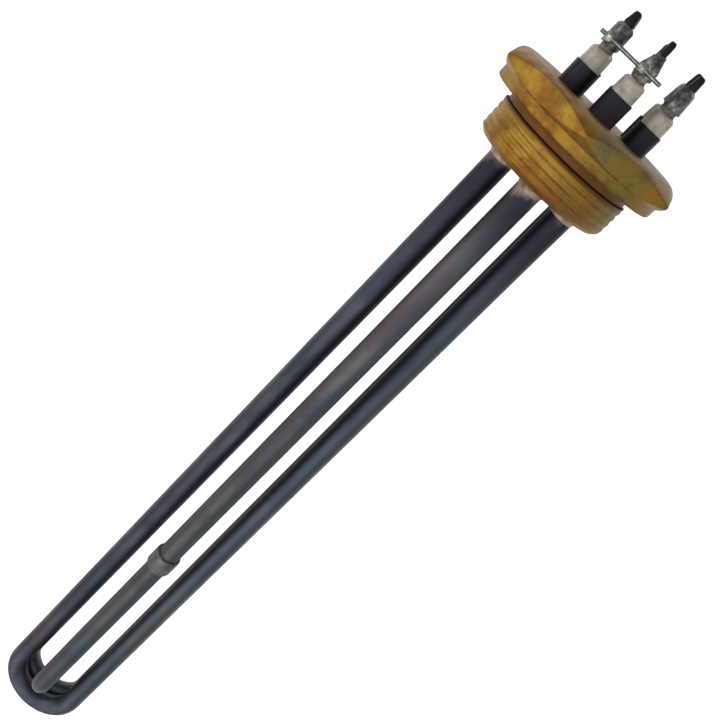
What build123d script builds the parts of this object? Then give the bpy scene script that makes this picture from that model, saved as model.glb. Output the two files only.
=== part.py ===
# Screw-in immersion heating element: a brass hexagon plug that carries three hairpin heaters.
# Frame: X runs along the plug's thread, with the terminals at +X and the heated ends at -X.
# The origin is on the axis, in the sealing face where the collar meets the tank. Z is up.
from build123d import *
import math
import os

# Plug, turned and milled from one brass bar
spigot_diameter = 47.8
spigot_length = 14.0
spigot_chamfer = 1.5
relief_width = 3.0
relief_depth = 0.9
collar_diameter = 60.0
collar_thickness = 3.4
collar_edge = 0.4
across_flats = 60.0
hexagon_thickness = 7.1
crown_share = 0.95
crown_angle = 30.0

# Tubes: six legs on one circle through the plug. Two ends were cut a little shorter than the rest
leg_circle_radius = 14.0
tube_diameter = 8.2
tube_wall = 0.7
tube_stand_out = 7.7
cut_short = {"upper_left": 0.4, "upper_right": 0.8}
bend_radius = 14.5
side_hairpin_length = 325.0
upright_hairpin_length = 312.0
side_bend_gap = 1.1
knee_distance = 12.0
knee_radius = 150.0

# Braze at the foot of each leg
braze_width = 2.0
braze_height = 2.3
braze_hollow = 0.31

# Inside each tube. The neck past the tab parts the bare tip from the rest of the pin's wall, so that
# the tip can be measured as a mount. The photo shows no neck
pin_diameter = 2.6
pin_neck_diameter = 2.0
pin_neck_width = 0.6
pin_inner_depth = 6.0
pin_end_chamfer = 0.5
coil_diameter = 3.6

# Ceramic bead in each tube end
bead_neck_length = 3.0
bead_lip = 0.25
bead_taper = 0.2
bead_nose_round = 1.05
bead_straight = 4.3
bead_length = 5.6

# Terminal tab on each pin: a sleeve crimped on and pressed flat towards its outer end
tab_gap = 1.4
tab_length = 7.0
tab_diameter = 5.8
tab_root_thickness = 5.6
tab_end_thickness = 3.2
tab_round = 2.8
tab_flat = 0.8
tab_corner = 1.2
pin_past_tab = 4.2

# Link wire laid across the top tab and the upper left tab, in a notch on their outer sides
wire_diameter = 1.2
wire_inset = 1.4
wire_offset = 3.0
wire_past_left = 3.1
wire_past_top = 7.2

# Band clip on the top leg
clip_place = 205.0
clip_length = 8.0
clip_thickness = 1.0
clip_split = 0.8

head_thickness = collar_thickness + hexagon_thickness
tube_radius = tube_diameter / 2
fill_radius = tube_radius - tube_wall
side_bend_height = tube_radius + side_bend_gap / 2
pin_inner_x = -(spigot_length + pin_inner_depth)
knee_x = -(spigot_length + knee_distance)

# Angle of each leg round the circle, in degrees from +Y, seen from the terminals
leg_angles = {
    "upper_left": 30.0,
    "top": 90.0,
    "upper_right": 150.0,
    "lower_right": 210.0,
    "bottom": 270.0,
    "lower_left": 330.0,
}

# Each hairpin joins two legs: its length from the sealing face and the height of its bend
hairpins = {
    "upper": ("upper_left", "upper_right", side_hairpin_length, side_bend_height),
    "upright": ("top", "bottom", upright_hairpin_length, 0.0),
    "lower": ("lower_left", "lower_right", side_hairpin_length, -side_bend_height),
}


def leg_place(leg, x=0.0):
    # The point on a leg's own axis where it goes through the plug
    turn = math.radians(leg_angles[leg])
    return Vector(x, leg_circle_radius * math.cos(turn), leg_circle_radius * math.sin(turn))


def turned(points):
    # A ring or plug turned about the X axis from corners given as (x, radius)
    profile = Plane.XZ * make_face(Polyline(*points, close=True))
    return revolve(profile, Axis.X)


def tube_end(leg):
    # Where a leg's tube stops, at the terminal side
    return head_thickness + tube_stand_out - cut_short.get(leg, 0.0)


def tab_start(leg):
    # Where a leg's tab starts, with a bare length of pin between it and the bead
    return tube_end(leg) + bead_length + tab_gap


def on_leg(solid, leg, x=0.0):
    # Carries a piece made on the X axis to a leg, with its own top turned outwards
    return Rot(leg_angles[leg] - 90, 0, 0) * Pos(x, 0, leg_circle_radius) * solid


def bend_frame(name):
    # The knees' midpoint, the bend's centre and the two unit directions of a hairpin's plane
    first, second, length, height = hairpins[name]
    start = (leg_place(first, knee_x) + leg_place(second, knee_x)) * 0.5
    centre = Vector(-(length - bend_radius - tube_radius), 0, height)
    along = (centre - start).normalized()
    across = (leg_place(first) - leg_place(second)).normalized()
    return start, centre, along, across


def leg_end(name, leg):
    # The point where a leg's straight run meets the bend and is tangent to it
    start, centre, along, across = bend_frame(name)
    side = 1 if leg == hairpins[name][0] else -1
    run = (centre - start).length
    half = (leg_place(leg, knee_x) - start).length
    turn = math.atan2(half, -run) - math.acos(bend_radius / math.hypot(run, half))
    return centre + along * (bend_radius * math.cos(turn)) + across * (side * bend_radius * math.sin(turn))


def hairpin_path(name, ends):
    # Leg, bend and leg, from one end to the other; ends are the two places where the legs stop
    first, second = hairpins[name][:2]
    start, centre, along, across = bend_frame(name)
    leg_runs = []
    for leg, end_x in zip((first, second), ends):
        points = (leg_place(leg, end_x), leg_place(leg, knee_x), leg_end(name, leg))
        leg_runs.append(FilletPolyline(*points, radius=knee_radius))
    arc = ThreePointArc(leg_end(name, first), centre + along * bend_radius, leg_end(name, second))
    return leg_runs[0] + arc + leg_runs[1]


def swept(name, ends, radius):
    # A round bar of the given radius along a hairpin
    path = hairpin_path(name, ends)
    first = hairpins[name][0]
    section = Plane(origin=leg_place(first, ends[0]), z_dir=(-1, 0, 0)) * Circle(radius)
    return sweep(section, path=path)


def tube_ends(name, back=0.0):
    # Both tube ends of a hairpin, or the places a distance back from them
    return [tube_end(leg) - back for leg in hairpins[name][:2]]


def make_plug():
    # Threaded spigot, relief groove, washer collar and chamfered hexagon with six bores
    spigot_radius = spigot_diameter / 2
    collar_radius = collar_diameter / 2
    body = turned([
        (-spigot_length, 0),
        (-spigot_length, spigot_radius - spigot_chamfer),
        (-spigot_length + spigot_chamfer, spigot_radius),
        (-relief_width, spigot_radius),
        (-relief_width + relief_depth / 2, spigot_radius - relief_depth),
        (0, spigot_radius - relief_depth),
        (0, collar_radius - collar_edge),
        (collar_edge, collar_radius),
        (collar_thickness, collar_radius),
        (collar_thickness, 0),
    ])
    hexagon = Plane.YZ * RegularPolygon(across_flats / 2, 6, major_radius=False, rotation=30)
    hexagon = Pos(collar_thickness, 0, 0) * extrude(hexagon, hexagon_thickness)
    back_corners = make_cone(collar_thickness, collar_radius, head_thickness)
    front_corners = make_cone(head_thickness, across_flats / 2 * crown_share, collar_thickness)
    body += hexagon & back_corners & front_corners
    for leg in leg_angles:
        body -= on_leg(turned_rod(-spigot_length - 1, head_thickness + 1, tube_radius), leg)
    return body


def make_cone(x_small, radius, x_large):
    # The turned envelope that takes the corners off one face of the hexagon
    spread = abs(x_large - x_small) / math.tan(math.radians(crown_angle))
    return turned([(x_small, 0), (x_small, radius), (x_large, radius + spread), (x_large, 0)])


def turned_rod(x_start, x_end, radius):
    # A plain round bar on the X axis
    return turned([(x_start, 0), (x_start, radius), (x_end, radius), (x_end, 0)])


def make_sheath(name):
    # The bent metal tube of one hairpin, open at both ends
    return swept(name, tube_ends(name), tube_radius) - swept(name, tube_ends(name), fill_radius)


def make_coil(name):
    # The space that the resistance coil winds through, from one pin's end to the other's
    return swept(name, [pin_inner_x, pin_inner_x], coil_diameter / 2)


def make_filling(name):
    # Packed magnesia powder between the sheath, the coil and the two pins
    filling = swept(name, tube_ends(name, bead_neck_length), fill_radius) - make_coil(name)
    for leg in hairpins[name][:2]:
        filling -= on_leg(turned_rod(pin_inner_x, tube_end(leg), pin_diameter / 2), leg)
    return filling


def make_pin(leg):
    # Terminal pin from the coil out to its bare end, with its neck just past the tab
    radius = pin_diameter / 2
    neck = pin_neck_diameter / 2
    neck_x = tab_start(leg) + tab_length
    end_x = neck_x + pin_past_tab
    pin = turned([
        (pin_inner_x, 0),
        (pin_inner_x, radius),
        (neck_x, radius),
        (neck_x, neck),
        (neck_x + pin_neck_width, neck),
        (neck_x + pin_neck_width, radius),
        (end_x - pin_end_chamfer, radius),
        (end_x, radius - pin_end_chamfer),
        (end_x, 0),
    ])
    return on_leg(pin, leg)


def make_bead(leg):
    # Ceramic bead: a neck in the tube end, a slightly tapered body and a rounded nose
    bore = pin_diameter / 2
    rim = (0, fill_radius + bead_lip)
    shoulder = (bead_straight, rim[1] - bead_taper)
    nose = (bead_length, shoulder[1] - bead_nose_round)
    taper = (shoulder[0] - rim[0], shoulder[1] - rim[1])
    outline = Polyline(
        nose,
        (bead_length, bore),
        (-bead_neck_length, bore),
        (-bead_neck_length, fill_radius),
        (0, fill_radius),
        rim,
        shoulder,
    )
    profile = make_face(outline + TangentArc(shoulder, nose, tangent=taper))
    return on_leg(revolve(Plane.XZ * profile, Axis.X), leg, tube_end(leg))


def both_sides(points):
    # A closed outline from its corners along one side of the X axis
    mirrored = [(x, -y) for x, y in reversed(points)]
    return make_face(Polyline(*points, *mirrored, close=True))


def make_tab(leg):
    # Terminal tab: a sleeve pressed to a wedge seen edge on, with its outer corners cut off
    radius = tab_diameter / 2
    reach = radius + 1
    wedge = both_sides([
        (0, tab_root_thickness / 2),
        (tab_round, tab_root_thickness / 2),
        (tab_length - tab_flat, tab_end_thickness / 2),
        (tab_length, tab_end_thickness / 2),
    ])
    corners = both_sides([
        (0, reach),
        (tab_length - tab_corner - (reach - radius), reach),
        (tab_length, radius - tab_corner),
    ])
    tab = turned_rod(0, tab_length, radius)
    tab &= extrude(Plane.XY * wedge, reach, both=True)
    tab &= extrude(Plane.XZ * corners, reach, both=True)
    tab -= turned_rod(-1, tab_length + 1, pin_diameter / 2)
    return on_leg(tab, leg, tab_start(leg))


def wire_line():
    # The wire's middle line, from past the upper left tab to past the top tab
    wire_x = tab_start("top") + wire_inset
    left = leg_place("upper_left", wire_x)
    top = leg_place("top", wire_x)
    step = (top - left).normalized()
    outwards = (leg_place("upper_left") + leg_place("top")).normalized() * wire_offset
    return left + outwards - step * wire_past_left, top + outwards + step * wire_past_top


def make_wire():
    # Bare link wire soldered into the notches of the two tabs
    start, end = wire_line()
    step = end - start
    return extrude(Plane(origin=start, z_dir=step.normalized()) * Circle(wire_diameter / 2), step.length)


def make_braze():
    # Hollow fillet of braze between a leg and the plug's wetted face
    face = -spigot_length
    foot = tube_radius + braze_width
    inner = (face - braze_height, tube_radius)
    middle = (face - braze_height * braze_hollow, tube_radius + braze_width * braze_hollow)
    edge = ThreePointArc(inner, middle, (face, foot))
    profile = make_face(edge + Polyline((face, foot), (face, tube_radius), inner))
    return revolve(Plane.XZ * profile, Axis.X)


def make_clip():
    # Split band pressed on the top leg
    start = leg_place("top", knee_x)
    end = leg_end("upright", "top")
    step = (end - start).normalized()
    middle = start + step * ((-clip_place - start.X) / step.X)
    frame = Plane(origin=middle - step * (clip_length / 2), x_dir=(0, 1, 0), z_dir=step)
    outer = tube_radius + clip_thickness
    band = Circle(outer) - Circle(tube_radius)
    slot = Pos(0, outer, 0) * Rectangle(clip_split, outer * 2)
    return extrude(frame * (band - slot), clip_length)


def leg_pieces(leg, with_notch):
    # The pieces that each leg carries
    tab = make_tab(leg)
    if with_notch:
        tab -= make_wire()
    return {
        f"{leg}_pin": make_pin(leg),
        f"{leg}_bead": make_bead(leg),
        f"{leg}_tab": tab,
        f"{leg}_braze": on_leg(make_braze(), leg),
    }


def make_all():
    pieces = {"screw_plug": make_plug()}
    for name in hairpins:
        pieces[f"{name}_sheath"] = make_sheath(name)
        pieces[f"{name}_filling"] = make_filling(name)
        pieces[f"{name}_coil"] = make_coil(name)
    for leg in leg_angles:
        pieces.update(leg_pieces(leg, leg in ("top", "upper_left")))
    pieces["link_wire"] = make_wire()
    pieces["band_clip"] = make_clip()
    return pieces


os.makedirs("parts", exist_ok=True)
for node, piece in make_all().items():
    export_step(piece, f"parts/{node}.step")
    print(node, "volume", round(piece.volume, 1))
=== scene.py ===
# Looks of a screw-in immersion heating element: brass plug, three hairpin tubes, ceramic-beaded terminals
import math

import bmesh
import bpy
from mathutils import Matrix, Vector, noise


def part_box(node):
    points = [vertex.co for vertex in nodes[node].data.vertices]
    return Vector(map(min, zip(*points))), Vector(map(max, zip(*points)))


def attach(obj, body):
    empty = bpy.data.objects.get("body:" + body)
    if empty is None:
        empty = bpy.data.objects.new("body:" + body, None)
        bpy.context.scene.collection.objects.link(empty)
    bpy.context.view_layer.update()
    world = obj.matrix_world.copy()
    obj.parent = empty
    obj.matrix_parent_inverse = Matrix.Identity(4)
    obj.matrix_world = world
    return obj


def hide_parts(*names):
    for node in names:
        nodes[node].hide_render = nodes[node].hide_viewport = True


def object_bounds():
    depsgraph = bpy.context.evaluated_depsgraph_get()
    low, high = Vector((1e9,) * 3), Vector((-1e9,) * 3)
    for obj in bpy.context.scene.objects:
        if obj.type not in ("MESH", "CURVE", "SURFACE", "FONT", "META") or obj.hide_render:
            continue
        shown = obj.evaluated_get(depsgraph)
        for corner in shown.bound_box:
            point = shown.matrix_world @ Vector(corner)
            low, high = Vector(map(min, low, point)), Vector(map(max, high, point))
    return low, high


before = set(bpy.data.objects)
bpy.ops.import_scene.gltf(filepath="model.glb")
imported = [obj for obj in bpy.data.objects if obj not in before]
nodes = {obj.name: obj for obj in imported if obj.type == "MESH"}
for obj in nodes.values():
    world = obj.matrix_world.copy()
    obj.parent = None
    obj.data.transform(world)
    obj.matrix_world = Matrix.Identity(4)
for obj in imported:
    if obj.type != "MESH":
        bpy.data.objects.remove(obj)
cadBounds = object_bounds()

mm = 0.001
legNames = ("upper_left", "top", "upper_right", "lower_right", "bottom", "lower_left")
hairpinNames = ("upper", "upright", "lower")
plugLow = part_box("screw_plug")[0]


# small helpers for materials

def startMaterial(name, metallic, roughness):
    material = bpy.data.materials.new(name)
    material.use_nodes = True
    tree = material.node_tree
    shader = tree.nodes["Principled BSDF"]
    shader.inputs["Metallic"].default_value = metallic
    shader.inputs["Roughness"].default_value = roughness
    coords = tree.nodes.new("ShaderNodeTexCoord").outputs["Object"]
    return material, tree, shader, coords


def mapped(tree, coords, scale=(1, 1, 1), shift=(0, 0, 0)):
    node = tree.nodes.new("ShaderNodeMapping")
    node.inputs["Scale"].default_value = scale
    node.inputs["Location"].default_value = shift
    tree.links.new(coords, node.inputs["Vector"])
    return node.outputs["Vector"]


def noiseOf(tree, coords, scale, detail=4.0, roughness=0.55, distortion=0.0):
    node = tree.nodes.new("ShaderNodeTexNoise")
    node.inputs["Scale"].default_value = scale
    node.inputs["Detail"].default_value = detail
    node.inputs["Roughness"].default_value = roughness
    node.inputs["Distortion"].default_value = distortion
    tree.links.new(coords, node.inputs["Vector"])
    return node.outputs["Fac"]


def rampOf(tree, factor, stops):
    # stops are (place, linear colour)
    node = tree.nodes.new("ShaderNodeValToRGB")
    elements = node.color_ramp.elements
    while len(elements) < len(stops):
        elements.new(0.5)
    for element, (place, colour) in zip(elements, stops):
        element.position = place
        element.color = (*colour, 1)
    tree.links.new(factor, node.inputs["Fac"])
    return node.outputs["Color"]


def rangeOf(tree, value, fromLow, fromHigh, toLow=0.0, toHigh=1.0):
    node = tree.nodes.new("ShaderNodeMapRange")
    for name, number in zip(("From Min", "From Max", "To Min", "To Max"), (fromLow, fromHigh, toLow, toHigh)):
        node.inputs[name].default_value = number
    tree.links.new(value, node.inputs["Value"])
    return node.outputs["Result"]


def mathOf(tree, operation, first, second):
    node = tree.nodes.new("ShaderNodeMath")
    node.operation = operation
    for place, value in enumerate((first, second)):
        if isinstance(value, (int, float)):
            node.inputs[place].default_value = value
        else:
            tree.links.new(value, node.inputs[place])
    return node.outputs["Value"]


def timesOf(tree, first, second):
    return mathOf(tree, "MULTIPLY", first, second)


def plusOf(tree, first, second):
    return mathOf(tree, "ADD", first, second)


def distanceOf(tree, value, middle):
    # how far a coordinate is from a place, on either side
    return mathOf(tree, "ABSOLUTE", mathOf(tree, "SUBTRACT", value, middle), 0.0)


def swingOf(tree, cloud, amount):
    # noise centred on zero
    return timesOf(tree, mathOf(tree, "SUBTRACT", cloud, 0.5), amount)


def mixOf(tree, factor, first, second):
    # first and second are colour sockets or linear colours
    node = tree.nodes.new("ShaderNodeMix")
    node.data_type = "RGBA"
    sockets = [s for s in node.inputs if s.type == "RGBA"]
    for place, colour in zip(sockets, (first, second)):
        if isinstance(colour, tuple):
            place.default_value = (*colour, 1)
        else:
            tree.links.new(colour, place)
    if isinstance(factor, (int, float)):
        node.inputs["Factor"].default_value = factor
    else:
        tree.links.new(factor, node.inputs["Factor"])
    return [s for s in node.outputs if s.type == "RGBA"][0]


def partsOf(tree, coords):
    node = tree.nodes.new("ShaderNodeSeparateXYZ")
    tree.links.new(coords, node.inputs["Vector"])
    return node.outputs["X"], node.outputs["Y"], node.outputs["Z"]


def bumpInto(tree, shader, height, strength, distance):
    node = tree.nodes.new("ShaderNodeBump")
    node.inputs["Strength"].default_value = strength
    node.inputs["Distance"].default_value = distance
    tree.links.new(height, node.inputs["Height"])
    tree.links.new(node.outputs["Normal"], shader.inputs["Normal"])


def giveMaterial(piece, material):
    piece.data.materials.clear()
    piece.data.materials.append(material)


# brass of the plug

brassFinish = {
    "metallic": 0.9,
    "roughness": (0.62, 0.48),
    "brown": (0.108, 0.050, 0.009),
    "orange": (0.170, 0.078, 0.010),
    "yellow": (0.235, 0.140, 0.018),
    "olive": (0.115, 0.088, 0.018),
    "green": (0.078, 0.082, 0.032),
    "red": (0.120, 0.036, 0.008),
    "grime": (0.045, 0.024, 0.010),
    "groove": (0.070, 0.024, 0.006),
    "paintedHighlight": (0.26, 0.17, 0.11),
    "cloudScale": 95,
    "speckScale": 700,
    "grainScale": 1600,
    # ranges are from low, from high, to low, to high, and places are in metres
    "raggedness": 1.5,
    "paintedShadeFrom": (0.012, -0.016),
    "paintedShadeAmount": (0.25, 0.9),
    "shadePatchMiddle": -0.006,
    "shadePatchAcross": (0.006, 0.002),
    "shadePatchAlong": (0.003, 0.006),
    "shadePatchHeight": (0.02, 0.026, 0.0, 0.7),
    "redWander": 0.01,
    "redAlong": (-0.006, -0.011),
    "redAmount": 0.55,
    "redMiddle": -0.002,
    "redAcross": (0.017, 0.008),
    "grooveWander": 0.003,
    "grooveFar": (-0.0044, -0.0030),
    "grooveNear": (0.0009, 0.0001, 0.0, 0.85),
    "edgeHighlightFrom": (0.0088, 0.0100, 0.0, 0.4),
    "edgeHighlightTo": (0.01046, 0.0104),
    "speckRange": (0.52, 0.74, 0.0, 0.4),
}


def makeBrass():
    look = brassFinish
    brown, orange = look["brown"], look["orange"]
    material, tree, shader, coords = startMaterial("brassTurned", look["metallic"], 0.5)
    x, y, z = partsOf(tree, coords)
    cloud = noiseOf(tree, coords, look["cloudScale"], 6, 0.62, 0.15)
    warm = rampOf(tree, cloud, ((0.28, brown), (0.44, orange), (0.60, look["yellow"]), (0.80, orange)))
    paintedShade = rampOf(tree, cloud, ((0.28, brown), (0.45, look["olive"]), (0.62, orange), (0.78, look["green"])))
    # the right-hand half of the head is painted olive and darker, as painted shade on the side turned from
    # the light
    ragged = swingOf(tree, cloud, look["raggedness"])
    side = plusOf(tree, rangeOf(tree, y, *look["paintedShadeFrom"]), ragged)
    colour = mixOf(tree, rangeOf(tree, side, *look["paintedShadeAmount"]), warm, paintedShade)
    # a dark green patch of painted shade lies on the hexagon facet beside the near corner
    across = rangeOf(tree, distanceOf(tree, y, look["shadePatchMiddle"]), *look["shadePatchAcross"])
    shadePatch = timesOf(tree, across, rangeOf(tree, x, *look["shadePatchAlong"]))
    shadePatch = timesOf(tree, shadePatch, rangeOf(tree, z, *look["shadePatchHeight"]))
    colour = mixOf(tree, shadePatch, colour, look["green"])
    # the lower part of the spigot is redder
    wander = plusOf(tree, x, timesOf(tree, ragged, look["redWander"]))
    reddened = timesOf(tree, rangeOf(tree, wander, *look["redAlong"]), look["redAmount"])
    across = rangeOf(tree, distanceOf(tree, y, look["redMiddle"]), *look["redAcross"])
    colour = mixOf(tree, timesOf(tree, reddened, across), colour, look["red"])
    # grime and painted shade darken the relief groove, and a painted highlight runs along the terminal-side
    # chamfer
    # the groove colour is grime and painted shade from the collar together
    wobble = plusOf(tree, x, swingOf(tree, cloud, look["grooveWander"]))
    near = rangeOf(tree, wobble, *look["grooveNear"])
    band = timesOf(tree, rangeOf(tree, wobble, *look["grooveFar"]), near)
    colour = mixOf(tree, band, colour, look["groove"])
    # painted highlight along the terminal-side chamfer edge
    edgeHighlight = timesOf(tree, rangeOf(tree, wobble, *look["edgeHighlightFrom"]), rangeOf(tree, x, *look["edgeHighlightTo"]))
    colour = mixOf(tree, edgeHighlight, colour, look["paintedHighlight"])
    speck = noiseOf(tree, mapped(tree, coords, shift=(3, 1, 2)), look["speckScale"], 3, 0.6)
    colour = mixOf(tree, rangeOf(tree, speck, *look["speckRange"]), colour, look["grime"])
    tree.links.new(colour, shader.inputs["Base Color"])
    tree.links.new(rangeOf(tree, cloud, 0.3, 0.7, *look["roughness"]), shader.inputs["Roughness"])
    grain = noiseOf(tree, coords, look["grainScale"], 2, 0.5)
    bumpInto(tree, shader, plusOf(tree, grain, timesOf(tree, cloud, 2.0)), 0.3, 0.0002)
    return material


# oxidised tubes

tubeFinish = {
    "upper": {
        "dark": (0.015, 0.018, 0.027), "mid": (0.027, 0.032, 0.043), "light": (0.042, 0.048, 0.058),
        "shift": (0.0, 0.0, 0.0), "flux": (-0.0175, 0.3), "burnt": (-0.066, 0.92),
    },
    "upright": {
        "dark": (0.026, 0.026, 0.031), "mid": (0.040, 0.042, 0.048), "light": (0.062, 0.064, 0.066),
        "shift": (0.3, 0.1, 0.2), "flux": (-0.0215, 0.8), "burnt": (-0.046, 0.78),
    },
    "lower": {
        "dark": (0.016, 0.019, 0.027), "mid": (0.030, 0.036, 0.044), "light": (0.044, 0.053, 0.061),
        "shift": (0.7, 0.5, 0.9), "flux": (-0.0175, 0.3), "burnt": (-0.066, 0.92),
    },
}
tubeStainsAndShade = {
    "teal": (0.017, 0.046, 0.052),
    "violet": (0.034, 0.030, 0.054),
    "red": (0.058, 0.030, 0.034),
    "warmSide": (0.070, 0.048, 0.043),
    "coolSide": (0.030, 0.056, 0.060),
    "tealLeg": (0.040, 0.062, 0.064),
    "inner": (0.006, 0.006, 0.016),
    "burnt": (0.0055, 0.004, 0.0095),
    "flux": (0.23, 0.165, 0.135),
    "terminalSide": (0.0045, 0.0040, 0.0085),
    "darkRed": (0.026, 0.007, 0.012),
}
tubeWearAndShade = {
    # where each stain and the painted shade lie: from low, from high, to low, to high, with places in metres
    "metallic": 0.75,
    "roughness": (0.55, 0.44),
    "cloudScale": 110,
    "tintScale": 75,
    "grainScale": 1500,
    "tints": (0.02, 0.16, 0.05, 0.6),
    "unevenness": 0.004,
    "warmSide": (0.0004, 0.0032, 0.0, 0.5),
    "coolSide": (-0.0006, -0.0032, 0.0, 0.5),
    "innerSide": (0.0128, 0.0100, 0.0, 0.85),
    "innerUpTo": (-0.312, -0.296),
    "tealLeg": (-0.004, -0.012, 0.0, 0.35),
    "raggedness": 0.02,
    "burntFull": -0.026,
    "fluxFade": 0.0035,
    "terminalSide": (0.008, 0.0085),
    "leavingFrom": (0.009, 0.0095),
    "leavingTo": (0.0140, 0.0110, 0.0, 0.75),
}


def makeTube(name):
    look, stainsAndShade, wearAndShade = tubeFinish[name], tubeStainsAndShade, tubeWearAndShade
    material, tree, shader, coords = startMaterial("tubeOxide_" + name, wearAndShade["metallic"], 0.46)
    x, y, _ = partsOf(tree, coords)
    moved = mapped(tree, coords, scale=(0.35, 1, 1), shift=look["shift"])
    cloud = noiseOf(tree, moved, wearAndShade["cloudScale"], 4, 0.6, 0.4)
    colour = rampOf(tree, cloud, ((0.32, look["dark"]), (0.5, look["mid"]), (0.68, look["light"])))
    # heat tints come and go along the tube
    stretched = mapped(tree, coords, scale=(0.3, 1, 1), shift=(5, 2, 1))
    tint = noiseOf(tree, stretched, wearAndShade["tintScale"], 3, 0.5, 0.3)
    tints = rampOf(tree, tint, ((0.3, stainsAndShade["teal"]), (0.5, stainsAndShade["violet"]), (0.68, stainsAndShade["red"])))
    colour = mixOf(tree, rangeOf(tree, distanceOf(tree, tint, 0.5), *wearAndShade["tints"]), colour, tints)
    uneven = swingOf(tree, cloud, wearAndShade["unevenness"])
    if name == "upright":
        # one side of it is painted browner and the other tealer
        sideways = plusOf(tree, y, uneven)
        colour = mixOf(tree, rangeOf(tree, sideways, *wearAndShade["warmSide"]), colour, stainsAndShade["warmSide"])
        colour = mixOf(tree, rangeOf(tree, sideways, *wearAndShade["coolSide"]), colour, stainsAndShade["coolSide"])
    else:
        # one leg is tealer, and the sides that face each other get painted shade, nearly black
        inwards = plusOf(tree, distanceOf(tree, y, 0.0), uneven)
        shade = rangeOf(tree, inwards, *wearAndShade["innerSide"])
        shade = timesOf(tree, shade, rangeOf(tree, x, *wearAndShade["innerUpTo"]))
        colour = mixOf(tree, rangeOf(tree, y, *wearAndShade["tealLeg"]), colour, stainsAndShade["tealLeg"])
        colour = mixOf(tree, shade, colour, stainsAndShade["inner"])
    # next to the plug: flux and braze on the first millimetres, then a burnt stretch
    ragged = plusOf(tree, x, swingOf(tree, cloud, wearAndShade["raggedness"]))
    burntStart, burntAmount = look["burnt"]
    burnt = rangeOf(tree, ragged, burntStart, wearAndShade["burntFull"], 0.0, burntAmount)
    colour = mixOf(tree, burnt, colour, stainsAndShade["burnt"])
    fluxStart, fluxAmount = look["flux"]
    flux = rangeOf(tree, ragged, fluxStart, fluxStart + wearAndShade["fluxFade"], 0.0, fluxAmount)
    colour = mixOf(tree, flux, colour, stainsAndShade["flux"])
    # past the plug the ends are nearly black, and dark red where they leave it
    colour = mixOf(tree, rangeOf(tree, x, *wearAndShade["terminalSide"]), colour, stainsAndShade["terminalSide"])
    leaving = rangeOf(tree, x, *wearAndShade["leavingFrom"])
    leaving = timesOf(tree, leaving, rangeOf(tree, ragged, *wearAndShade["leavingTo"]))
    colour = mixOf(tree, leaving, colour, stainsAndShade["darkRed"])
    tree.links.new(colour, shader.inputs["Base Color"])
    tree.links.new(rangeOf(tree, cloud, 0.3, 0.7, *wearAndShade["roughness"]), shader.inputs["Roughness"])
    grain = noiseOf(tree, moved, wearAndShade["grainScale"], 3, 0.6)
    bumpInto(tree, shader, plusOf(tree, grain, cloud), 0.2, 0.0002)
    return material


# plain finishes that differ only in their numbers

plainFinishes = {
    "ceramic": {
        "metallic": 0.0, "roughness": (0.42, 0.3), "scale": 260, "bump": 0.12,
        "stops": ((0.3, (0.12, 0.10, 0.075)), (0.5, (0.22, 0.195, 0.16)), (0.75, (0.28, 0.25, 0.215))),
    },
    "tab_metal": {
        "metallic": 0.9, "roughness": (0.5, 0.35), "scale": 420, "bump": 0.3,
        "stops": ((0.34, (0.022, 0.020, 0.024)), (0.5, (0.082, 0.080, 0.078)), (0.66, (0.22, 0.21, 0.175))),
    },
    "pin_steel": {
        "metallic": 0.8, "roughness": (0.5, 0.4), "scale": 500, "bump": 0.25,
        # the near-black stops are painted shade on the pin tips, darker than the steel itself
        "stops": (
            (0.35, (0.0025, 0.003, 0.005)),
            (0.55, (0.006, 0.007, 0.010)),
            (0.75, (0.018, 0.018, 0.022)),
        ),
        "rootColour": (0.115, 0.098, 0.078), "rootEnd": (0.0256, 0.0250),
    },
    "braze": {
        "metallic": 0.55, "roughness": (0.6, 0.42), "scale": 380, "bump": 0.5,
        "stops": ((0.3, (0.085, 0.058, 0.042)), (0.5, (0.19, 0.142, 0.105)), (0.72, (0.29, 0.23, 0.175))),
    },
    "wire": {
        "metallic": 0.85, "roughness": (0.45, 0.3), "scale": 600, "bump": 0.15,
        "stops": ((0.3, (0.06, 0.07, 0.068)), (0.55, (0.13, 0.14, 0.13)), (0.75, (0.2, 0.2, 0.17))),
    },
    "clip_steel": {
        "metallic": 0.5, "roughness": (0.55, 0.42), "scale": 300, "bump": 0.25,
        "stops": ((0.32, (0.028, 0.042, 0.054)), (0.5, (0.060, 0.056, 0.058)), (0.7, (0.10, 0.078, 0.076))),
    },
    "cement": {
        "metallic": 0.0, "roughness": (0.85, 0.7), "scale": 450, "bump": 0.5,
        "stops": ((0.35, (0.040, 0.028, 0.022)), (0.5, (0.085, 0.066, 0.052)), (0.7, (0.17, 0.145, 0.12))),
    },
    "solder": {
        "metallic": 0.85, "roughness": (0.45, 0.3), "scale": 500, "bump": 0.3,
        "stops": ((0.3, (0.09, 0.085, 0.075)), (0.55, (0.19, 0.18, 0.15)), (0.75, (0.28, 0.27, 0.24))),
    },
    "magnesia": {
        "metallic": 0.0, "roughness": (0.95, 0.85), "scale": 800, "bump": 0.4,
        "stops": ((0.3, (0.62, 0.6, 0.54)), (0.7, (0.8, 0.78, 0.72))),
    },
    "coil_alloy": {
        "metallic": 1.0, "roughness": (0.5, 0.4), "scale": 500, "bump": 0.2,
        "stops": ((0.3, (0.2, 0.19, 0.18)), (0.7, (0.35, 0.34, 0.33))),
    },
}


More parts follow.
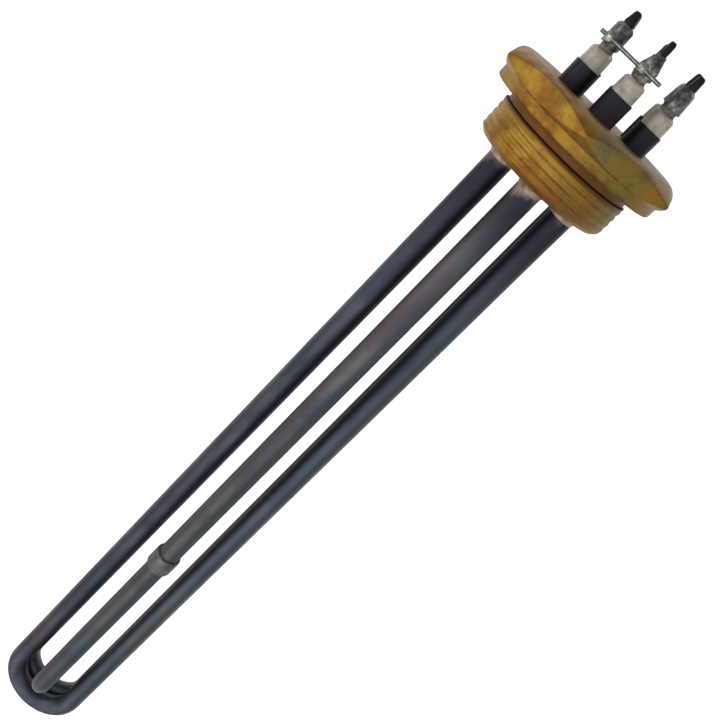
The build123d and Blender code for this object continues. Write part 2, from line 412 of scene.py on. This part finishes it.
def makePlain(name):
    look = plainFinishes[name]
    material, tree, shader, coords = startMaterial("finish_" + name, look["metallic"], 0.5)
    cloud = noiseOf(tree, coords, look["scale"], 4, 0.6)
    colour = rampOf(tree, cloud, look["stops"])
    if "rootColour" in look:
        # the part between bead and tab is coated in sealing cement
        coated = rangeOf(tree, partsOf(tree, coords)[0], *look["rootEnd"])
        colour = mixOf(tree, coated, colour, look["rootColour"])
    tree.links.new(colour, shader.inputs["Base Color"])
    tree.links.new(rangeOf(tree, cloud, 0.3, 0.7, *look["roughness"]), shader.inputs["Roughness"])
    bumpInto(tree, shader, cloud, look["bump"], 0.0002)
    return material


# small helpers for meshes

def spinOutline(outline, steps):
    # a solid turned about the X axis; the outline is (x, radius), and may end where it starts
    mesh = bmesh.new()
    closed = outline[0] == outline[-1]
    points = [mesh.verts.new((x, 0, radius)) for x, radius in (outline[:-1] if closed else outline)]
    following = points[1:] + points[:1] if closed else points[1:]
    edges = [mesh.edges.new(pair) for pair in zip(points, following)]
    bmesh.ops.spin(
        mesh, geom=points + edges, cent=(0, 0, 0), axis=(1, 0, 0), dvec=(0, 0, 0), angle=math.tau,
        steps=steps, use_merge=True, use_normal_flip=False, use_duplicate=False,
    )
    bmesh.ops.remove_doubles(mesh, verts=mesh.verts, dist=1e-6)
    return mesh


def pushOut(vert, factor):
    # moves a point away from the X axis
    vert.co.y *= factor
    vert.co.z *= factor


def shadeByAngle(mesh, degrees):
    limit = math.radians(degrees)
    for face in mesh.faces:
        face.smooth = True
    for edge in mesh.edges:
        edge.smooth = len(edge.link_faces) != 2 or edge.calc_face_angle(0) < limit


def settle(mesh, middle, degrees):
    # carries a piece made on the X axis to its leg and finishes its faces
    bmesh.ops.translate(mesh, verts=mesh.verts, vec=(0, middle.y, middle.z))
    bmesh.ops.recalc_face_normals(mesh, faces=mesh.faces)
    shadeByAngle(mesh, degrees)


def middleOf(nodeName):
    low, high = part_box(nodeName)
    return (Vector(low) + Vector(high)) / 2


def sideOf(leg):
    # left, right or upright, seen from the terminals
    return leg.split("_")[1] if "_" in leg else "upright"


# the plug again, with its thread cut and its edges eased

plugDetail = {
    "splitX": -1.2 * mm,
    "spigotRadius": 23.9 * mm,
    "reliefRadius": 23.0 * mm,
    "reliefStart": -3.0 * mm,
    "reliefFlat": -2.55 * mm,
    "endChamfer": 1.5 * mm,
    "threadPitch": 2.309 * mm,
    "threadDepth": 0.33 * mm,
    "wearLeast": 0.75,
    "wearSpread": 0.5,
    "wearAlong": 300,
    "wearRound": 4,
    "ringStep": 0.22 * mm,
    "turnSteps": 240,
    "easedFrom": 28.0 * mm,
    "easeWidth": 0.3 * mm,
    "easeDegrees": 25,
}


def threadCut(x, turn):
    # how deep the worn thread is cut at a place along the axis and round it
    look = plugDetail
    phase = (x / look["threadPitch"] + turn / math.tau) % 1.0
    groove = 0.5 + 0.5 * math.cos(math.tau * phase)
    wearRound = look["wearRound"]
    place = Vector((x * look["wearAlong"], math.cos(turn) * wearRound, math.sin(turn) * wearRound))
    worn = look["wearLeast"] + look["wearSpread"] * noise.noise(place)
    return look["threadDepth"] * groove * worn


def makeSpigot():
    look = plugDetail
    startX = plugLow[0]
    outline = [(startX, 0.0), (startX, look["spigotRadius"] - look["endChamfer"])]
    x = startX + look["endChamfer"] / 3
    while x < look["reliefStart"]:
        radius = min(look["spigotRadius"], look["spigotRadius"] - look["endChamfer"] + (x - startX))
        outline.append((x, radius))
        x += look["ringStep"]
    outline += [
        (look["reliefStart"], look["spigotRadius"]),
        (look["reliefFlat"], look["reliefRadius"]),
        (look["splitX"], look["reliefRadius"]),
        (look["splitX"], 0.0),
    ]
    mesh = spinOutline(outline, look["turnSteps"])
    for vert in mesh.verts:
        radius = math.hypot(vert.co.y, vert.co.z)
        onThread = startX + 0.1 * mm < vert.co.x < look["reliefStart"] - 0.01 * mm
        if onThread and radius > look["reliefRadius"] - look["endChamfer"]:
            turn = math.atan2(vert.co.z, vert.co.y)
            cut = look["spigotRadius"] - threadCut(vert.co.x, turn)
            if radius > cut:
                pushOut(vert, cut / radius)
    bmesh.ops.recalc_face_normals(mesh, faces=mesh.faces)
    return mesh


def looseCopy(nodeName):
    # a CAD node's mesh is loose triangles, so a copy is merged and its flat faces are joined
    mesh = bmesh.new()
    mesh.from_mesh(nodes[nodeName].data)
    bmesh.ops.remove_doubles(mesh, verts=mesh.verts, dist=1e-6)
    bmesh.ops.dissolve_limit(
        mesh, angle_limit=math.radians(1.0), use_dissolve_boundaries=False,
        verts=mesh.verts, edges=mesh.edges,
    )
    return mesh


def easeEdges(mesh, width, degrees, innerRadius, axis=(0.0, 0.0), segments=2):
    # rounds the sharp edges that lie further out than a radius from a line along X, within the old size
    low = [min(vert.co[i] for vert in mesh.verts) for i in range(3)]
    high = [max(vert.co[i] for vert in mesh.verts) for i in range(3)]
    limit = math.radians(degrees)
    sharp = [
        edge for edge in mesh.edges
        if len(edge.link_faces) == 2 and edge.calc_face_angle(0) > limit
        and all(math.hypot(vert.co.y - axis[0], vert.co.z - axis[1]) >= innerRadius for vert in edge.verts)
    ]
    bmesh.ops.bevel(
        mesh, geom=sharp, offset=width, offset_type="OFFSET", affect="EDGES", segments=segments,
        profile=0.5, material=-1, clamp_overlap=False,
    )
    for vert in mesh.verts:
        vert.co = [min(max(vert.co[i], low[i]), high[i]) for i in range(3)]


def makeHead():
    # the collar and hexagon of the CAD plug, cut off behind the spigot, with its outer edges eased
    look = plugDetail
    mesh = looseCopy("screw_plug")
    cut = bmesh.ops.bisect_plane(
        mesh, geom=mesh.verts[:] + mesh.edges[:] + mesh.faces[:], dist=1e-7,
        plane_co=(look["splitX"], 0, 0), plane_no=(1, 0, 0), clear_inner=True,
    )
    rim = [item for item in cut["geom_cut"] if isinstance(item, bmesh.types.BMEdge)]
    bmesh.ops.triangle_fill(mesh, use_beauty=True, use_dissolve=False, edges=rim)
    easeEdges(mesh, look["easeWidth"], look["easeDegrees"], look["easedFrom"])
    bmesh.ops.recalc_face_normals(mesh, faces=mesh.faces)
    return mesh


def addPiece(name, mesh, material, slotName, *replaced):
    data = bpy.data.meshes.new(name)
    mesh.to_mesh(data)
    mesh.free()
    piece = bpy.data.objects.new(name, data)
    bpy.context.scene.collection.objects.link(piece)
    data.materials.append(material)
    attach(piece, "root")
    if replaced:
        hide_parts(*replaced)


# small pieces, softer than their CAD nodes or with none of their own

brazeLook = {
    "cadWidth": 2.0 * mm, "width": 2.2 * mm, "height": 2.3 * mm, "hollow": 0.36, "sunk": 0.3 * mm,
    "lump": 0.5 * mm, "lumpScale": 420, "edgeLump": 0.2 * mm, "edgeScale": 300, "steps": 48,
}


def makeBrazeRing(leg):
    look = brazeLook
    low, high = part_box(leg + "_braze")
    middle = middleOf(leg + "_braze")
    face = high[0]
    tubeRadius = (high[2] - low[2]) / 2 - look["cadWidth"]
    hollow = look["hollow"]
    outline = [
        (face + look["sunk"], tubeRadius - look["sunk"]),
        (face + look["sunk"], tubeRadius + look["width"]),
        (face, tubeRadius + look["width"]),
        (face - look["height"] * hollow * 0.45, tubeRadius + look["width"] * 0.6),
        (face - look["height"] * hollow, tubeRadius + look["width"] * hollow),
        (face - look["height"] * 0.65, tubeRadius + look["width"] * 0.14),
        (face - look["height"], tubeRadius),
        (face - look["height"], tubeRadius - look["sunk"]),
    ]
    mesh = spinOutline(outline + outline[:1], look["steps"])
    seed = Vector((legNames.index(leg) * 7.0, 0, 0))
    for vert in mesh.verts:
        radius = math.hypot(vert.co.y, vert.co.z)
        if radius > tubeRadius + 0.05 * mm and vert.co.x < face + 0.1 * mm:
            push = 1 + look["lump"] * noise.noise(vert.co * look["lumpScale"] + seed) / radius
            pushOut(vert, push)
            ridge = look["edgeLump"] * noise.noise(vert.co * look["edgeScale"] + seed)
            vert.co.x = max(vert.co.x - ridge, low[0])
    settle(mesh, middle, 60)
    return mesh


solderLook = {
    "radius": 1.25 * mm, "stretch": (1.35, 1.5, 0.75), "reach": 2.75 * mm,
    "lump": 0.25 * mm, "lumpScale": 900,
}


def makeSolder(leg):
    # the lump of solder that holds the link wire in a tab's notch
    look = solderLook
    left, top = middleOf("upper_left_pin"), middleOf("top_pin")
    outwards = Vector((0, left.y + top.y, left.z + top.z)).normalized()
    place = middleOf(leg + "_pin") + outwards * look["reach"]
    place.x = middleOf("link_wire").x
    mesh = bmesh.new()
    bmesh.ops.create_icosphere(mesh, subdivisions=4, radius=look["radius"])
    bmesh.ops.scale(mesh, verts=mesh.verts, vec=look["stretch"])
    for vert in mesh.verts:
        vert.co += vert.co.normalized() * look["lump"] * noise.noise(vert.co * look["lumpScale"] + place / mm)
    turn = Vector((0, 0, 1)).rotation_difference(outwards).to_matrix()
    bmesh.ops.rotate(mesh, verts=mesh.verts, cent=(0, 0, 0), matrix=turn)
    bmesh.ops.translate(mesh, verts=mesh.verts, vec=place)
    shadeByAngle(mesh, 180)
    return mesh


tabLook = {
    "easeWidth": 0.28 * mm, "degrees": 35, "boreRadius": 1.5 * mm, "pinchFrom": 0.3,
    "pinch": {"left": 0.1, "right": 0.34, "upright": 0.36},
}


def makeTab(leg):
    # the CAD tab with soft edges, pinched in towards its tip
    look = tabLook
    mesh = looseCopy(leg + "_tab")
    low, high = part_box(leg + "_tab")
    middle = middleOf(leg + "_pin")
    easeEdges(mesh, look["easeWidth"], look["degrees"], look["boreRadius"], (middle.y, middle.z))
    outwards = Vector((0, middle.y, middle.z)).normalized()
    for vert in mesh.verts:
        along = (vert.co.x - low[0]) / (high[0] - low[0])
        away = (vert.co - middle).dot(outwards)
        share = max(0.0, along - look["pinchFrom"]) / (1 - look["pinchFrom"])
        pinch = look["pinch"][sideOf(leg)] * share
        vert.co -= outwards * away * pinch
    bmesh.ops.recalc_face_normals(mesh, faces=mesh.faces)
    shadeByAngle(mesh, 30)
    return mesh


pinLook = {
    "radius": 1.3 * mm, "lump": 0.1, "lumpScale": 600, "steps": 32,
    # radius of each tip where it leaves the tab and at its end
    "tip": {"left": (1.7 * mm, 1.2 * mm), "right": (1.4 * mm, 1.15 * mm), "upright": (1.08 * mm, 1.05 * mm)},
}


def makePin(leg):
    # the pin with its tip tapered on from the tab, in place of the CAD pin's neck
    look = pinLook
    low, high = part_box(leg + "_pin")
    middle = middleOf(leg + "_pin")
    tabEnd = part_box(leg + "_tab")[1][0]
    root, end = look["tip"][sideOf(leg)]
    outline = [
        (low[0], 0.0),
        (low[0], look["radius"]),
        (tabEnd - 0.6 * mm, look["radius"]),
        (tabEnd - 0.1 * mm, (look["radius"] + root) / 2),
        (tabEnd + 0.5 * mm, root),
        (tabEnd + 1.8 * mm, (root + end) / 2),
        (high[0] - 0.9 * mm, end),
        (high[0] - 0.3 * mm, end * 0.85),
        (high[0], end * 0.5),
        (high[0], 0.0),
    ]
    mesh = spinOutline(outline, look["steps"])
    seed = Vector((legNames.index(leg) * 3.0, 0, 4))
    for vert in mesh.verts:
        if vert.co.x > tabEnd:
            pushOut(vert, 1 + look["lump"] * noise.noise(vert.co * look["lumpScale"] + seed))
    settle(mesh, middle, 50)
    return mesh


clipLook = {"easeWidth": 0.85 * mm, "degrees": 50, "outerRadius": 4.6 * mm}


def makeClip():
    look = clipLook
    mesh = looseCopy("band_clip")
    middle = middleOf("band_clip")
    easeEdges(mesh, look["easeWidth"], look["degrees"], look["outerRadius"], (middle.y, middle.z), 4)
    bmesh.ops.recalc_face_normals(mesh, faces=mesh.faces)
    shadeByAngle(mesh, 40)
    return mesh


cementLook = {
    "radius": 2.45 * mm, "waist": 0.35 * mm, "sunk": 0.25 * mm, "rings": 6,
    "lump": 0.3, "lumpScale": 700, "steps": 28,
}


def makeCement(leg):
    # the lump of sealing cement between a bead's nose and its tab
    look = cementLook
    middle = middleOf(leg + "_pin")
    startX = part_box(leg + "_bead")[1][0] - look["sunk"]
    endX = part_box(leg + "_tab")[0][0] + look["sunk"]
    outline = [(startX, 0.0)]
    for step in range(look["rings"] + 1):
        share = step / look["rings"]
        radius = look["radius"] - look["waist"] * math.sin(math.pi * share)
        outline.append((startX + (endX - startX) * share, radius))
    outline.append((endX, 0.0))
    mesh = spinOutline(outline, look["steps"])
    seed = Vector((legNames.index(leg) * 5.0, 2, 0))
    for vert in mesh.verts:
        pushOut(vert, 1 + look["lump"] * noise.noise(vert.co * look["lumpScale"] + seed))
    settle(mesh, middle, 50)
    return mesh


# floor, light and camera

stageLook = {"floorDrop": 60 * mm, "floorSize": 6.0, "floorColour": (0.93, 0.93, 0.93)}


def makeFloor():
    mesh = bmesh.new()
    bmesh.ops.create_grid(mesh, x_segments=1, y_segments=1, size=stageLook["floorSize"])
    bmesh.ops.translate(mesh, verts=mesh.verts, vec=(0, 0, cadBounds[0][2] - stageLook["floorDrop"]))
    data = bpy.data.meshes.new("floor")
    mesh.to_mesh(data)
    mesh.free()
    floor = bpy.data.objects.new("floor", data)
    bpy.context.scene.collection.objects.link(floor)
    material, _, shader, _ = startMaterial("floorPale", 0.0, 0.9)
    shader.inputs["Base Color"].default_value = (*stageLook["floorColour"], 1)
    shader.inputs["Specular IOR Level"].default_value = 0.1
    data.materials.append(material)


lightLook = {
    "worldStrength": 0.45,
    "aim": (-0.1, 0, 0),
    "overhead": {"place": (-0.35, 0.05, 0.85), "size": 1.5, "power": 12.0},
    "left": {"place": (-0.1, 0.8, 0.5), "size": 0.6, "power": 4.0},
    "right": {"place": (-0.1, -0.8, 0.45), "size": 0.6, "power": 2.0},
    "far": {"place": (-1.1, 0.05, 0.5), "size": 0.8, "power": 1.5},
}


def makeLights():
    world = bpy.data.worlds.new("studio")
    world.use_nodes = True
    world.node_tree.nodes["Background"].inputs["Color"].default_value = (1, 1, 1, 1)
    world.node_tree.nodes["Background"].inputs["Strength"].default_value = lightLook["worldStrength"]
    bpy.context.scene.world = world
    for name in ("overhead", "left", "right", "far"):
        look = lightLook[name]
        light = bpy.data.lights.new(name, "AREA")
        light.shape = "DISK"
        light.size = look["size"]
        light.energy = look["power"]
        lamp = bpy.data.objects.new(name, light)
        lamp.location = look["place"]
        towards = Vector(lightLook["aim"]) - lamp.location
        lamp.rotation_euler = towards.to_track_quat("-Z", "Y").to_euler()
        bpy.context.scene.collection.objects.link(lamp)


cameraLook = {
    "place": (22.68 * mm, 5.554 * mm, 263.098 * mm),
    "tilt": 24.392,
    "yaw": -1.092,
    "roll": -45.832,
    "lens": 42.895,
}


def makeCamera():
    look = cameraLook
    tilt, yaw, roll = (math.radians(look[key]) for key in ("tilt", "yaw", "roll"))
    forward = Vector((-math.sin(tilt) * math.cos(yaw), math.sin(yaw), -math.cos(tilt) * math.cos(yaw)))
    level = forward.cross(Vector((0, 1, 0))).normalized()
    upright = level.cross(forward)
    right = level * math.cos(roll) + upright * math.sin(roll)
    up = upright * math.cos(roll) - level * math.sin(roll)
    turn = Matrix((right, up, -forward)).transposed().to_4x4()
    data = bpy.data.cameras.new("camera")
    data.lens = look["lens"]
    data.sensor_width = 36
    data.clip_start = 0.01
    camera = bpy.data.objects.new("camera", data)
    camera.matrix_world = Matrix.Translation(look["place"]) @ turn
    bpy.context.scene.collection.objects.link(camera)
    bpy.context.scene.camera = camera


print("materials")
brass = makeBrass()
for name in hairpinNames:
    giveMaterial(nodes[name + "_sheath"], makeTube(name))
finishes = {name: makePlain(name) for name in plainFinishes}
for name in hairpinNames:
    giveMaterial(nodes[name + "_filling"], finishes["magnesia"])
    giveMaterial(nodes[name + "_coil"], finishes["coil_alloy"])
for leg in legNames:
    giveMaterial(nodes[leg + "_pin"], finishes["pin_steel"])
    giveMaterial(nodes[leg + "_bead"], finishes["ceramic"])
    giveMaterial(nodes[leg + "_tab"], finishes["tab_metal"])
    giveMaterial(nodes[leg + "_braze"], finishes["braze"])
giveMaterial(nodes["link_wire"], finishes["wire"])
giveMaterial(nodes["band_clip"], finishes["clip_steel"])

print("plug")
plugMesh = makeSpigot()
headMesh = makeHead()
joined = bpy.data.meshes.new("headPart")
headMesh.to_mesh(joined)
headMesh.free()
plugMesh.from_mesh(joined)
shadeByAngle(plugMesh, 32)
addPiece("plugTurned", plugMesh, brass, "brass", "screw_plug")

print("small pieces")
for leg in legNames:
    addPiece("tabCrimped_" + leg, makeTab(leg), finishes["tab_metal"], "tab_metal", leg + "_tab")
    addPiece("cementLump_" + leg, makeCement(leg), finishes["cement"], "ceramic")
    addPiece("pinTapered_" + leg, makePin(leg), finishes["pin_steel"], "pin_steel", leg + "_pin")
    addPiece("brazeFillet_" + leg, makeBrazeRing(leg), finishes["braze"], "braze", leg + "_braze")
for leg in ("upper_left", "top"):
    addPiece("wireSolder_" + leg, makeSolder(leg), finishes["solder"], "tab_metal")
addPiece("clipPressed", makeClip(), finishes["clip_steel"], "clip_steel", "band_clip")

print("stage")
makeFloor()
makeLights()
makeCamera()
bpy.context.scene.view_settings.view_transform = "Standard"
bpy.context.scene.view_settings.look = "None"
